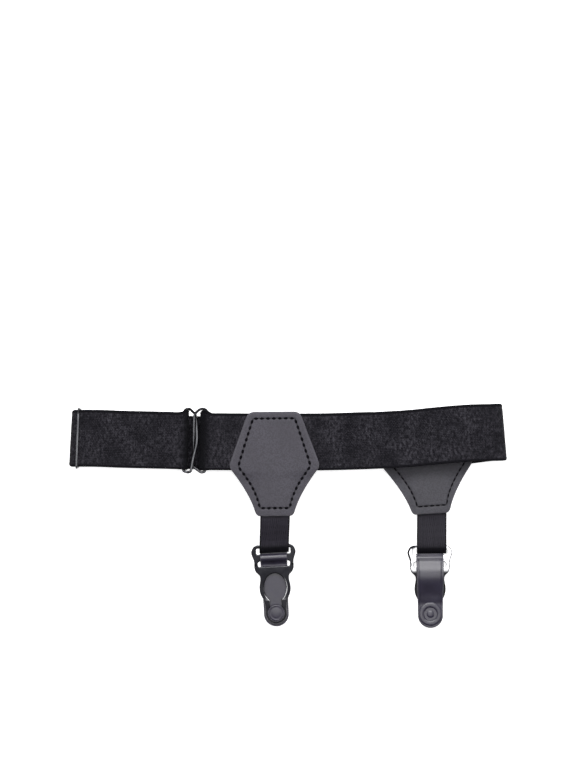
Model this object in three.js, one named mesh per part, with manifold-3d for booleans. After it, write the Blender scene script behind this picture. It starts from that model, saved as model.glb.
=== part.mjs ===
// Sock suspender: an elastic calf band with a slider and a wire closure, two leather patches on it,
// and from each patch a short strap with a buttoning clip. It lies flattened, as on a table.
// Millimetres. +X runs along the band, -Y down the straps to the clips, and +Z is up from the table.
import * as THREE from 'three';
import { mergeVertices } from 'three/addons/utils/BufferGeometryUtils.js';
import Module from 'manifold-3d';

const wasm = await Module();
wasm.setup();

// Driving sizes
const GAP = 0.3;
const WIRE_RADIUS = 0.55;
const BAND = { width: 25.4, thick: 1.2 };
const LEATHER = { thick: 1.1, height: 46.5, topHalf: 11.6, widestHalf: 20.1, widestUp: 22.2, endHalf: 8.3 };
const STRAP = { width: 13, thick: 1, loopReach: 2.35 };
const FRAME = { thick: 1.2, bevel: 0.2, railHalf: 0.7, windowDown: 8.9 };
const CROSSBAR = { down: 4.7, radius: 0.5 };
const CHEEK = { innerHalf: 6.4, outerHalf: 8.3, height: 2.8, thick: 1 };
const KEYHOLE = { ovalDown: 18.3, ovalHalfWidth: 5, ovalHalfHeight: 6.25, slotHalf: 2.65 };
const STUD = { down: 29.7, neckRadius: 1.9, headRadius: 3.68, headThick: 1.2, dish: 0.25 };
const TONGUE = { thick: 1.2, loopHalf: 6.1, loopRadius: 1.55, loopBore: 0.75, endHalf: 5.6, end: 35.9 };

// Heights above the table of the band's centreline, and where its turns are
const FLOOR_BAND = BAND.thick / 2;
const BACK_BAND = LEATHER.thick + GAP + BAND.thick / 2;
const FRONT_BAND = 7.8;
const RAISED_FRONT_BAND = 9;
const WRAP_RADIUS = WIRE_RADIUS + GAP + BAND.thick / 2;
const SLIDER_TURN_RADIUS = WRAP_RADIUS + BAND.thick + GAP;
const SLIDER = { x: -93.75, tilt: 0.05, turn: -0.038, z: BACK_BAND + SLIDER_TURN_RADIUS, halfLength: 13.55 };
const SLIDER_BAR_RISE = SLIDER.z - WIRE_RADIUS;
const CLOSURE = { x: -41.6, z: 7.7, turn: -0.027, hookWire: -4.9, ringWire: 4.9, foldReach: 2.4 };
const RIGHT_FOLD_X = 92.3;

// Where the patches' narrow ends and the clips' top rails are, seen from above
const FRONT = {
  x: -5.95, y: 0.1, turn: 0.01, level: FRONT_BAND, strapX: -6.45, railX: -6.8, railY: -13.8, railTurn: 0.049,
};
const BACK = {
  x: 63.9, y: 0.85, turn: 0.07, level: BACK_BAND, strapX: 63.95, railX: 63.3, railY: -14.2, railTurn: 0.009,
};
const RAIL_Z = TONGUE.thick + GAP + FRAME.thick / 2;

// The band's middle line from above: its Y, and how far its cross line leans, at stations along X
const PLAN_X = [-97, -86, -75, -53.6, -32, -8, 15, 36, 54, 65, 81, 93, 97];
const FRONT_Y = [34.7, 34.7, 34.3, 33.8, 33.2, 33.1, 33.1, 33.7, 34.7, 35.8, 37.1, 37.4, 37.5];
const BACK_Y = [34.7, 34.7, 34.3, 33.8, 33.2, 33.1, 33.1, 33.7, 33.7, 34.1, 36.0, 37.4, 37.5];
const LEAN = [0.055, 0.055, 0.035, 0.027, 0.027, 0, 0, 0, -0.03, -0.05, -0.08, -0.1, -0.1];

const webbing = new THREE.MeshStandardMaterial({ color: 0x262529, roughness: 0.9 });
const leather = new THREE.MeshStandardMaterial({ color: 0x58565c, roughness: 0.6 });
const satin = new THREE.MeshStandardMaterial({ color: 0x2d2b32, roughness: 0.5 });
const plastic = new THREE.MeshStandardMaterial({ color: 0x55535c, roughness: 0.4 });
const blackMetal = new THREE.MeshStandardMaterial({ color: 0x1c1c1f, roughness: 0.25, metalness: 1 });
const brightWire = new THREE.MeshStandardMaterial({ color: 0x6f7076, roughness: 0.3, metalness: 1 });

/** The value at x of a smooth curve through a row of stations. */
function alongPlan(values, x) {
  return new THREE.CubicInterpolant(PLAN_X, values, 1).evaluate(x)[0];
}

/** A closed geometry as a solid for cutting and joining. */
function solidOf(geometry) {
  const bare = geometry.index ? geometry.toNonIndexed() : geometry.clone();
  bare.deleteAttribute('normal');
  bare.deleteAttribute('uv');
  const merged = mergeVertices(bare, 1e-4);
  return new wasm.Manifold(new wasm.Mesh({
    numProp: 3,
    vertProperties: merged.attributes.position.array,
    triVerts: new Uint32Array(merged.index.array),
  }));
}

/** The geometry of a solid. */
function geometryOf(solid) {
  const mesh = solid.getMesh();
  const geometry = new THREE.BufferGeometry();
  geometry.setAttribute('position', new THREE.BufferAttribute(mesh.vertProperties, 3));
  geometry.setIndex(new THREE.BufferAttribute(mesh.triVerts, 1));
  const flat = geometry.toNonIndexed();
  flat.computeVertexNormals();
  return flat;
}

function piece(name, geometry, material) {
  const mesh = new THREE.Mesh(geometry, material);
  mesh.name = name;
  return mesh;
}

/** Moves every vertex of a geometry by a function of its position. */
function warp(geometry, move) {
  const positions = geometry.attributes.position;
  const point = new THREE.Vector3();
  for (let i = 0; i < positions.count; i += 1) {
    point.fromBufferAttribute(positions, i);
    move(point);
    positions.setXYZ(i, point.x, point.y, point.z);
  }
  geometry.computeVertexNormals();
  return geometry;
}

/** Adds points that run level out of the last one and level into (x, z). */
function easeTo(route, x, z, step = 4) {
  const from = route.at(-1);
  const fewest = Math.abs(z - from.y) > 0.01 ? 6 : 1;
  const steps = Math.max(fewest, Math.ceil(Math.abs(x - from.x) / step));
  for (let i = 1; i <= steps; i += 1) {
    const share = i / steps;
    const rise = THREE.MathUtils.smoothstep(share, 0, 1);
    route.push(new THREE.Vector2(from.x + (x - from.x) * share, from.y + (z - from.y) * rise));
  }
}

/** Adds a half turn about (x, z), from above to below it or back up, round its left (-1) or right (1). */
function halfTurn(route, x, z, radius, side, steps = 12, reach = radius) {
  const start = Math.sign(route.at(-1).y - z);
  for (let i = 1; i <= steps; i += 1) {
    const angle = (i / steps) * Math.PI;
    const across = side * reach * Math.sin(angle);
    route.push(new THREE.Vector2(x + across, z + start * radius * Math.cos(angle)));
  }
}

/** The outline of a strip of even thickness about a route of points. */
function stripShape(route, thickness) {
  const upper = [];
  const lower = [];
  route.forEach((point, i) => {
    const before = route[Math.max(i - 1, 0)];
    const after = route[Math.min(i + 1, route.length - 1)];
    const along = after.clone().sub(before).normalize();
    const offset = new THREE.Vector2(-along.y, along.x).multiplyScalar(thickness / 2);
    upper.push(point.clone().add(offset));
    lower.unshift(point.clone().sub(offset));
  });
  return new THREE.Shape([...upper, ...lower]);
}

/** A polygon whose corners are rounded; each corner is [x, y, radius]. */
function roundedPath(path, corners) {
  corners.forEach(([x, y, radius], i) => {
    const corner = new THREE.Vector2(x, y);
    const [beforeX, beforeY] = corners.at(i - 1);
    const [afterX, afterY] = corners[(i + 1) % corners.length];
    const towards = (px, py) => new THREE.Vector2(px, py).sub(corner).setLength(radius).add(corner);
    const enter = towards(beforeX, beforeY);
    const leave = towards(afterX, afterY);
    if (i === 0) {
      path.moveTo(enter.x, enter.y);
    } else {
      path.lineTo(enter.x, enter.y);
    }
    path.quadraticCurveTo(x, y, leave.x, leave.y);
  });
  path.closePath();
  return path;
}

/** A closed bent wire through rounded corners; each corner is [x, y, z, radius]. */
function wireLoop(corners, steps = 4) {
  const points = [];
  corners.forEach(([x, y, z, radius], i) => {
    const corner = new THREE.Vector3(x, y, z);
    const before = new THREE.Vector3(...corners.at(i - 1));
    const after = new THREE.Vector3(...corners[(i + 1) % corners.length]);
    const enter = before.sub(corner).setLength(radius).add(corner);
    const leave = after.sub(corner).setLength(radius).add(corner);
    points.push(...new THREE.QuadraticBezierCurve3(enter, corner, leave).getPoints(steps));
  });
  const curve = new THREE.CatmullRomCurve3(points, true, 'centripetal');
  // The wire's rings stand at the points themselves, so the bends keep their shape.
  curve.getPointAt = curve.getPoint;
  curve.getTangentAt = curve.getTangent;
  return new THREE.TubeGeometry(curve, points.length, WIRE_RADIUS, 8, true);
}

/** An extrusion of an XZ outline, centred on Y = 0. */
function extrudeAcross(shape, width) {
  const geometry = new THREE.ExtrudeGeometry(shape, { depth: width, bevelEnabled: false, curveSegments: 6 });
  return geometry.translate(0, 0, -width / 2).rotateX(Math.PI / 2);
}

// Band: one strip from the tail at the slider to the tail at the ring
function bandGeometry() {
  const foldBack = CLOSURE.foldReach - WRAP_RADIUS;
  const hookX = CLOSURE.x + CLOSURE.hookWire - foldBack;
  const ringX = CLOSURE.x + CLOSURE.ringWire + foldBack;
  const tailLevel = 4.6;
  const foldRadius = (RAISED_FRONT_BAND - BACK_BAND) / 2;
  const route = [new THREE.Vector2(-81, tailLevel)];
  easeTo(route, -87, tailLevel);
  easeTo(route, SLIDER.x, SLIDER.z - WRAP_RADIUS);
  halfTurn(route, SLIDER.x, SLIDER.z, WRAP_RADIUS, -1);
  easeTo(route, -86, tailLevel + BAND.thick + GAP);
  easeTo(route, hookX, CLOSURE.z - WRAP_RADIUS);
  halfTurn(route, hookX, CLOSURE.z, WRAP_RADIUS, 1, 12, CLOSURE.foldReach);
  easeTo(route, SLIDER.x, SLIDER.z + SLIDER_TURN_RADIUS);
  halfTurn(route, SLIDER.x, SLIDER.z, SLIDER_TURN_RADIUS, -1, 14);
  easeTo(route, -86, BACK_BAND);
  easeTo(route, -78, FLOOR_BAND);
  easeTo(route, 33, FLOOR_BAND);
  easeTo(route, 41, BACK_BAND);
  easeTo(route, RIGHT_FOLD_X, BACK_BAND);
  halfTurn(route, RIGHT_FOLD_X, BACK_BAND + foldRadius, foldRadius, 1, 14);
  easeTo(route, 40, RAISED_FRONT_BAND);
  easeTo(route, 16, FRONT_BAND);
  easeTo(route, -28, FRONT_BAND);
  easeTo(route, ringX, CLOSURE.z + WRAP_RADIUS);
  halfTurn(route, ringX, CLOSURE.z, WRAP_RADIUS, -1, 12, CLOSURE.foldReach);
  easeTo(route, -28, FRONT_BAND - BAND.thick - GAP);
  const foldMiddle = BACK_BAND + foldRadius;
  return warp(extrudeAcross(stripShape(route, BAND.thick), BAND.width), (point) => {
    const middle = point.z > foldMiddle ? FRONT_Y : BACK_Y;
    const x = point.x;
    point.x += alongPlan(LEAN, x) * point.y;
    point.y += alongPlan(middle, x);
  });
}

// Slider: a wire oblong with a middle bar, standing in the left fold
function sliderGeometry() {
  const half = Math.hypot(SLIDER.tilt, SLIDER_BAR_RISE);
  const length = SLIDER.halfLength;
  const bend = 1;
  const oblong = wireLoop([
    [0, -length, -half, bend], [0, length, -half, bend], [0, length, half, bend], [0, -length, half, bend],
  ]);
  const bar = new THREE.CylinderGeometry(WIRE_RADIUS, WIRE_RADIUS, 2 * length, 8);
  const joined = geometryOf(solidOf(oblong).add(solidOf(bar)));
  joined.rotateY(-Math.atan2(SLIDER.tilt, SLIDER_BAR_RISE));
  joined.rotateZ(SLIDER.turn);
  return joined.translate(SLIDER.x, alongPlan(FRONT_Y, SLIDER.x), SLIDER.z);
}

// Hook and ring: two linked wire loops; each row is a corner's place about the closure's middle
const WIRE_STEP = WIRE_RADIUS + GAP / 2 + 0.05;
const HOOK_CORNERS = [
  [CLOSURE.hookWire, 13.9, 0, 0.8],
  [-2.9, 14.5, -0.3, 0.9],
  [-0.37, 12.25, -WIRE_STEP, 0.6],
  [0.25, 10.8, -0.6, 1],
  [1.05, 0.4, 0.25, 3],
  [-0.3, -6.3, WIRE_STEP, 2],
  [-1.5, -13.6, 0.8, 0.6],
  [-2.7, -14, 0.4, 0.5],
  [CLOSURE.hookWire, -13.45, 0, 0.8],
];
const RING_CORNERS = [
  [-0.6, 11.2, 0.6, 0.8],
  [-0.1, 12.5, WIRE_STEP, 0.5],
  [1.7, 14.3, 0.4, 1],
  [3.4, 14.6, 0.2, 0.6],
  [CLOSURE.ringWire, 13.9, 0, 0.7],
  [CLOSURE.ringWire, -13.4, 0, 0.7],
  [3.2, -13.95, -0.2, 0.7],
  [-0.6, -11.4, -0.6, 1],
  [-0.6, -6.3, -WIRE_STEP, 2],
];

function placeClosure(geometry) {
  geometry.rotateZ(CLOSURE.turn);
  return geometry.translate(CLOSURE.x, alongPlan(FRONT_Y, CLOSURE.x), CLOSURE.z);
}

// Leather patch: a hexagon with hollowed lower sides, its narrow end at the origin
function patchShape() {
  const { height, topHalf, widestHalf, widestUp, endHalf } = LEATHER;
  const topRound = 1.6;
  const sideRound = 1.4;
  const endRound = 1.3;
  const sideUp = (height - widestUp) / Math.hypot(height - widestUp, widestHalf - topHalf);
  const topFoot = new THREE.Vector2(topHalf + topRound * (1 - sideUp), height - topRound * sideUp);
  const shape = new THREE.Shape();
  shape.moveTo(-endHalf + endRound, 0);
  shape.lineTo(endHalf - endRound, 0);
  shape.quadraticCurveTo(endHalf, 0, endHalf + 0.3, endRound);
  shape.quadraticCurveTo(11.1, 9.7, widestHalf - sideRound * 0.7, widestUp - sideRound);
  shape.quadraticCurveTo(widestHalf + 0.3, widestUp, widestHalf - sideRound * 0.3, widestUp + sideRound);
  shape.lineTo(topFoot.x, topFoot.y);
  shape.quadraticCurveTo(topHalf, height, topHalf - topRound, height);
  const half = shape.getPoints(8).filter((point) => point.x > 0);
  const mirrored = half.map((point) => new THREE.Vector2(-point.x, point.y)).reverse();
  return new THREE.Shape([...half, ...mirrored]);
}

function patchGeometry(side, bottom) {
  const geometry = new THREE.ExtrudeGeometry(patchShape(), { depth: LEATHER.thick, bevelEnabled: false });
  return geometry.rotateZ(side.turn).translate(side.x, side.y, bottom);
}

// Strap: from inside the patch over the clip's top rail and back beneath itself
function strapGeometry(side) {
  const insidePatch = 19;
  const turnRadius = 0.55 + STRAP.thick;
  const tailEnd = side.y - 1.6;
  const tailLevel = Math.max(side.level - STRAP.thick - GAP - 0.3, STRAP.thick / 2 + 0.05);
  // The route runs along -Y, so its first coordinate is how far down the strap a point is.
  const route = [new THREE.Vector2(-side.y - insidePatch, side.level)];
  easeTo(route, -side.y + 0.6, side.level);
  easeTo(route, -side.railY, RAIL_Z + turnRadius, 2);
  halfTurn(route, -side.railY, RAIL_Z, turnRadius, 1, 10, STRAP.loopReach);
  easeTo(route, -tailEnd, tailLevel, 2);
  const geometry = extrudeAcross(stripShape(route, STRAP.thick), STRAP.width).rotateZ(-Math.PI / 2);
  return warp(geometry, (point) => {
    const share = THREE.MathUtils.smoothstep((side.y - point.y) / (side.y - side.railY), 0, 1);
    const above = Math.max(point.y - side.y, 0);
    const turn = THREE.MathUtils.lerp(side.turn, side.railTurn, share);
    point.y += turn * point.x;
    point.x += THREE.MathUtils.lerp(side.x, side.strapX, share) - side.turn * above;
  });
}

// Clip frame: a flat plate with two ears and a crossbar held by two cheeks. Each row of its outline is
// [half width, distance down from the top rail].
const FRAME_OUTLINE = [
  [7.2, -0.95], [8.9, -0.1], [9.85, 1.6], [9.95, 2.9], [9.3, 4.9], [8.85, 6.6], [8.85, 9.3], [8.2, 11.2],
  [6.7, 12.8], [6.45, 14.6], [7, 18], [6.7, 20.8], [5.6, 23.4], [4.9, 25.8],
];
const FRAME_END_RADIUS = 4.85;

function frameSolid() {
  const outline = new THREE.Path();
  outline.moveTo(0.01, FRAME.railHalf);
  outline.lineTo(5.6, FRAME.railHalf);
  outline.splineThru(FRAME_OUTLINE.map(([half, down]) => new THREE.Vector2(half, -down)));
  outline.absarc(0, -STUD.down, FRAME_END_RADIUS, 0.3, -Math.PI / 2, true);
  const half = outline.getPoints(3).filter((point) => point.x > 0.005);
  const mirrored = half.map((point) => new THREE.Vector2(-point.x, point.y)).reverse();
  const plate = new THREE.Shape([...half, ...mirrored].reverse());
  const window = roundedPath(new THREE.Path(), [
    [-7.7, -FRAME.railHalf, 0.7], [7.7, -FRAME.railHalf, 0.7],
    [7.1, -FRAME.windowDown, 0.7], [-7.1, -FRAME.windowDown, 0.7],
  ]);
  const { ovalDown, ovalHalfWidth, ovalHalfHeight, slotHalf } = KEYHOLE;
  const joint = Math.acos(slotHalf / ovalHalfWidth);
  const keyhole = new THREE.Path();
  keyhole.absarc(0, -STUD.down, slotHalf, Math.PI, 2 * Math.PI, false);
  keyhole.absellipse(0, -ovalDown, ovalHalfWidth, ovalHalfHeight, -joint, Math.PI + joint, false);
  keyhole.closePath();
  plate.holes.push(window, keyhole);
  const geometry = new THREE.ExtrudeGeometry(plate, {
    depth: FRAME.thick - 2 * FRAME.bevel, curveSegments: 8,
    bevelThickness: FRAME.bevel, bevelSize: FRAME.bevel, bevelOffset: -FRAME.bevel, bevelSegments: 1,
  });
  geometry.translate(0, 0, FRAME.bevel - FRAME.thick / 2);
  const crossbar = new THREE.CylinderGeometry(CROSSBAR.radius, CROSSBAR.radius, 17, 8);
  crossbar.rotateZ(Math.PI / 2).translate(0, -CROSSBAR.down, 0);
  const cheeks = [-1, 1].map((sign) => {
    const cheek = new THREE.BoxGeometry(CHEEK.outerHalf - CHEEK.innerHalf, CHEEK.height, CHEEK.thick);
    cheek.translate(sign * (CHEEK.outerHalf + CHEEK.innerHalf) / 2, -CROSSBAR.down, 0);
    return solidOf(cheek);
  });
  return solidOf(geometry).add(solidOf(crossbar)).add(cheeks[0]).add(cheeks[1]);
}

/** How far the tongue bows away from the frame at a distance down from the top rail. */
function bowAt(down, height) {
  const from = CROSSBAR.down + 1;
  const to = 25;
  const share = THREE.MathUtils.clamp((down - from) / (to - from), 0, 1);
  const paddleLift = 0.22 * THREE.MathUtils.smoothstep(down, 23, 37);
  return height * (Math.sin(share ** 0.68 * Math.PI) ** 2 + paddleLift);
}

// Clip tongue: looped round the crossbar, lying on the frame's far side, with the stud through the keyhole
function tongueSolid(bow) {
  const near = FRAME.thick / 2 + GAP;
  const plan = new THREE.Shape();
  plan.moveTo(-TONGUE.loopHalf, -CROSSBAR.down);
  plan.lineTo(-5.9, -12);
  plan.lineTo(-TONGUE.endHalf, -24);
  plan.absarc(0, TONGUE.endHalf - TONGUE.end, TONGUE.endHalf, Math.PI, 2 * Math.PI, false);
  plan.lineTo(TONGUE.endHalf, -24);
  plan.lineTo(5.9, -12);
  plan.lineTo(TONGUE.loopHalf, -CROSSBAR.down);
  const outline = new THREE.ExtrudeGeometry(plan, { depth: 20, bevelEnabled: false, curveSegments: 10 });
  outline.translate(0, 0, -15);
  const route = [];
  const steps = 24;
  for (let i = 0; i <= steps; i += 1) {
    const down = THREE.MathUtils.lerp(CROSSBAR.down, TONGUE.end + 1, i / steps);
    route.push(new THREE.Vector2(down, -near - TONGUE.thick / 2 - bowAt(down, bow)));
  }
  const strip = extrudeAcross(stripShape(route, TONGUE.thick), 2 * TONGUE.loopHalf + 1).rotateZ(-Math.PI / 2);
  const loop = new THREE.CylinderGeometry(TONGUE.loopRadius, TONGUE.loopRadius, 2 * TONGUE.loopHalf, 16);
  loop.rotateZ(Math.PI / 2).translate(0, -CROSSBAR.down, 0);
  const bore = new THREE.CylinderGeometry(TONGUE.loopBore, TONGUE.loopBore, 20, 12);
  bore.rotateZ(Math.PI / 2).translate(0, -CROSSBAR.down, 0);
  const rim = STUD.headRadius;
  const top = near + STUD.headThick;
  const profile = [
    [0, -near - TONGUE.thick / 2], [STUD.neckRadius, -near - TONGUE.thick / 2], [STUD.neckRadius, near],
    [rim - 0.2, near], [rim, near + 0.3], [rim, top - 0.3], [rim - 0.3, top], [rim - 0.9, top],
    [rim - 1.3, top - STUD.dish], [0, top - STUD.dish],
  ];
  const stud = new THREE.LatheGeometry(profile.map(([radius, z]) => new THREE.Vector2(radius, z)), 20);
  stud.rotateX(Math.PI / 2).translate(0, -STUD.down, 0);
  const body = solidOf(strip).intersect(solidOf(outline));
  return body.add(solidOf(loop)).subtract(solidOf(bore)).add(solidOf(stud));
}

/** A clip hung from its strap's turn, face up or turned over. */
function clip(side, prefix, bow, turnedOver) {
  const group = new THREE.Group();
  group.add(piece(`${prefix}_clip_frame`, geometryOf(frameSolid()), blackMetal));
  group.add(piece(`${prefix}_clip_tongue`, geometryOf(tongueSolid(bow)), plastic));
  group.rotation.set(0, turnedOver ? Math.PI : 0, Math.atan(side.railTurn), 'ZYX');
  group.position.set(side.railX, side.railY, RAIL_Z);
  return group;
}

// Assembly
const frontInner = FRONT_BAND - BAND.thick / 2 - GAP - LEATHER.thick;
const frontOuter = FRONT_BAND + BAND.thick / 2 + GAP;
const backInner = BACK_BAND + BAND.thick / 2 + GAP;
const garter = new THREE.Group();
garter.add(
  piece('band', bandGeometry(), webbing),
  piece('slider', sliderGeometry(), brightWire),
  piece('band_hook', placeClosure(wireLoop(HOOK_CORNERS)), brightWire),
  piece('band_ring', placeClosure(wireLoop(RING_CORNERS)), brightWire),
  piece('front_patch_outer', patchGeometry(FRONT, frontOuter), leather),
  piece('front_patch_inner', patchGeometry(FRONT, frontInner), leather),
  piece('back_patch_outer', patchGeometry(BACK, 0), leather),
  piece('back_patch_inner', patchGeometry(BACK, backInner), leather),
  piece('front_strap', strapGeometry(FRONT), satin),
  piece('back_strap', strapGeometry(BACK), satin),
  clip(FRONT, 'front', 0, false),
  clip(BACK, 'back', 2.2, true),
);

// The part's origin is under the middle of its box, on the table.
const box = new THREE.Box3().setFromObject(garter);
const middle = box.getCenter(new THREE.Vector3());
garter.position.set(-middle.x, -middle.y, -box.min.z);
const part = new THREE.Group();
part.add(garter);

export default part;
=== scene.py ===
"""Looks of the sock suspender: webbing, leather, stitches, satin straps, buttoning clips and wires.

Sizes are in millimetres in the same plan as the CAD, until finished() sets a piece in the frame in
metres. +X runs along the band, -Y down the straps to the clips, and +Z is up from the table.
"""
import math

import bmesh
import bpy
from mathutils import Matrix, Vector


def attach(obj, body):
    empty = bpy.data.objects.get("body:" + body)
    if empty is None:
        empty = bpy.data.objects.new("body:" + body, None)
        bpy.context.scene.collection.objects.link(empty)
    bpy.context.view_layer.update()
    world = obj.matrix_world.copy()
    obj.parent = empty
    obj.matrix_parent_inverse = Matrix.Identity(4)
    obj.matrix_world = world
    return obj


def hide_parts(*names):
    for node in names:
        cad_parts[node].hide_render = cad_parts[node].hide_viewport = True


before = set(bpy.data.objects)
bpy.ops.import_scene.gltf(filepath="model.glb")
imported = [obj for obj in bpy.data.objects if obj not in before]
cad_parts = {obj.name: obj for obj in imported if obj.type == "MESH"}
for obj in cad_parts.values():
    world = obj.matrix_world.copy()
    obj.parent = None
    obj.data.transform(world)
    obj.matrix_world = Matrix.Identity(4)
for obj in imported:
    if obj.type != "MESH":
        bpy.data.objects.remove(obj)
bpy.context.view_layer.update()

MM = 0.001
PLAN_SHIFT = Vector((0.164, -0.0175, 0.0))
GAP = 0.3
WIRE_RADIUS = 0.55

# Band, patches and straps
BAND_WIDTH = 25.4
BAND_THICK = 1.2
LEATHER_THICK = 1.1
STRAP_WIDTH = 13.2
STRAP_THICK = 1.0
STRAP_LOOP_REACH = 2.35
STRAP_TURN_RADIUS = 1.55
FLOOR_BAND = BAND_THICK / 2
BACK_BAND = LEATHER_THICK + GAP + BAND_THICK / 2
FRONT_BAND = 7.8
RAISED_FRONT_BAND = 9.0
WRAP_RADIUS = WIRE_RADIUS + GAP + BAND_THICK / 2
SLIDER_TURN_RADIUS = WRAP_RADIUS + BAND_THICK + GAP
SLIDER_X = -93.75
SLIDER_Z = BACK_BAND + SLIDER_TURN_RADIUS
SLIDER_TILT = 0.05
SLIDER_TURN = -0.038
SLIDER_WIRE_RADIUS = 0.45
SLIDER_REACH = 13.2
CLOSURE_X = -41.6
CLOSURE_Z = 7.7
CLOSURE_TURN = -0.027
CLOSURE_WIRE = 4.9
CLOSURE_WIRE_RADIUS = 0.6
HOOK_FOLD_REACH = 2.4
RING_FOLD_REACH = 3.3
RIGHT_FOLD_X = 92.5
LEFT_END = -97.3
RIGHT_END = 96.6
LEFT_ROUNDING = 1.5
RIGHT_ROUNDING = 1.1
UPPER_PUSH = 1.35
LOWER_PUSH = 0.25

# Each side: its patch's narrow end, turn and height, how far its seam is off the middle, the X of
# both ends of its strap and how shaded that is, and the clip's top rail
FRONT = dict(x=-5.95, y=0.1, turn=0.01, level=FRONT_BAND, seam_shift=0.0, strap_x=(-5.9, -6.3),
             strap_shade=0.0, rail_x=-6.8, rail_y=-13.8, rail_turn=0.049)
BACK = dict(x=63.9, y=0.85, turn=0.07, level=BACK_BAND, seam_shift=0.6, strap_x=(64.25, 64.15),
            strap_shade=0.33, rail_x=63.3, rail_y=-14.2, rail_turn=0.009)

# Clips, with distances down from the top rail
FRAME_THICK = 1.2
TONGUE_THICK = 1.2
RAIL_Z = TONGUE_THICK + GAP + FRAME_THICK / 2
CROSSBAR_DOWN = 4.7
CROSSBAR_HALF = 1.4
WINDOWS_DOWN = 0.7
WINDOWS_END = 8.9
KEYHOLE_DOWN = 18.3
KEYHOLE_HALF = 5
KEYHOLE_HALF_HEIGHT = 6.25
STUD_SLOT_HALF = 2.65
FRAME_END_RADIUS = 4.85
EDGE_ROUND = 0.38
BARREL_DOWN = 5.0
BARREL_Z = -0.3
LIP_DOWN = 2.75
STUD_DOWN = 29.7
TONGUE_END_HALF = 5.6
TONGUE_END = 35.9
BOW_END = 25
PADDLE_RELIEF = 0.43
PADDLE_DROOP = 0.38
LIP_STEP = 0.55
FILLET_RISE = 1.3

DEEP_SHADE = (0.002, 0.002, 0.003)

# The band's middle line from above and how far its cross line leans, at stations along X
PLAN_X = (-97, -86, -75, -53.6, -32, -8, 15, 36, 54, 65, 81, 93, 97)
FRONT_Y = (34.7, 34.7, 34.3, 33.8, 33.2, 33.1, 33.1, 33.7, 34.7, 35.8, 37.1, 37.4, 37.5)
BACK_Y = (34.7, 34.7, 34.3, 33.8, 33.2, 33.1, 33.1, 33.7, 33.7, 34.1, 36.0, 37.4, 37.5)
LEAN = (0.055, 0.055, 0.035, 0.027, 0.027, 0, 0, 0, -0.03, -0.05, -0.08, -0.087, -0.087)


def share_of(low, high, value):
    """How far the value is on its way from low to high, between 0 and 1."""
    return min(max((value - low) / (high - low), 0.0), 1.0)


def smoothstep(low, high, value):
    share = share_of(low, high, value)
    return share * share * (3 - 2 * share)


def hump(a, b, c, d, value):
    """Rises from 0 to 1 between a and b, and falls again between c and d."""
    return smoothstep(a, b, value) * (1 - smoothstep(c, d, value))


def mix(a, b, share):
    return a + (b - a) * share


def along_plan(values, x):
    """The value at x of a smooth curve through the plan's stations."""
    last = len(PLAN_X) - 2
    i = min(max(sum(x >= station for station in PLAN_X) - 1, 0), last)
    slopes = [(values[k + 1] - values[k]) / (PLAN_X[k + 1] - PLAN_X[k]) for k in range(last + 1)]
    start = (slopes[max(i - 1, 0)] + slopes[i]) / 2
    end = (slopes[i] + slopes[min(i + 1, last)]) / 2
    step = PLAN_X[i + 1] - PLAN_X[i]
    t = share_of(PLAN_X[i], PLAN_X[i + 1], x)
    rise = values[i + 1] - values[i]
    return values[i] + t * (start * step + t * (3 * rise - (2 * start + end) * step
                                               + t * ((start + end) * step - 2 * rise)))


# Materials

def place(tree, kind, inputs=None, **settings):
    """A new node; each input is a value, or a socket to link from."""
    node = tree.nodes.new(kind)
    for name, value in settings.items():
        setattr(node, name, value)
    for key, value in (inputs or {}).items():
        if isinstance(value, bpy.types.NodeSocket):
            tree.links.new(value, node.inputs[key])
        else:
            node.inputs[key].default_value = value
    return node


def calc(tree, operation, *values, clamp=False):
    node = place(tree, "ShaderNodeMath", dict(enumerate(values)), operation=operation, use_clamp=clamp)
    return node.outputs[0]


def times(tree, a, b, clamp=False):
    return calc(tree, "MULTIPLY", a, b, clamp=clamp)


def plus(tree, a, b):
    return calc(tree, "ADD", a, b)


def rest_of(tree, value):
    """What is left of 1."""
    return calc(tree, "SUBTRACT", 1.0, value)


def ramp(tree, value, low, high):
    """0 where the value is low, 1 where it is high, and smooth between."""
    node = place(tree, "ShaderNodeMapRange", {"Value": value, "From Min": low, "From Max": high},
                 interpolation_type="SMOOTHSTEP")
    return node.outputs["Result"]


def blend(tree, factor, a, b):
    node = place(tree, "ShaderNodeMix", {"Factor": factor}, data_type="RGBA")
    for socket, value in (("A_Color", a), ("B_Color", b)):
        target = next(s for s in node.inputs if s.identifier == socket)
        if isinstance(value, bpy.types.NodeSocket):
            tree.links.new(value, target)
        else:
            target.default_value = (*value, 1)
    return next(s for s in node.outputs if s.identifier == "Result_Color")


def parts_of(tree, vector):
    return place(tree, "ShaderNodeSeparateXYZ", {0: vector}).outputs


def noise(tree, vector, scale, detail=2.0, roughness=0.5):
    inputs = {"Vector": vector, "Scale": scale, "Detail": detail, "Roughness": roughness}
    return place(tree, "ShaderNodeTexNoise", inputs).outputs["Fac"]


def stretched(tree, vector, along, across):
    """The cloth's place, scaled so that a pattern on it runs in streaks."""
    node = place(tree, "ShaderNodeMapping", {"Vector": vector, "Scale": (along, across, 1.0)})
    return node.outputs["Vector"]


def group(name, inputs, outputs):
    """An empty node group; inputs are names with defaults, outputs are names."""
    tree = bpy.data.node_groups.new(name, "ShaderNodeTree")
    for label, default in inputs.items():
        kind = "NodeSocketVector" if default is None else "NodeSocketFloat"
        socket = tree.interface.new_socket(label, in_out="INPUT", socket_type=kind)
        if default is not None:
            socket.default_value = default
    for label in outputs:
        tree.interface.new_socket(label, in_out="OUTPUT", socket_type="NodeSocketFloat")
    return tree, tree.nodes.new("NodeGroupInput").outputs, tree.nodes.new("NodeGroupOutput").inputs


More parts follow.
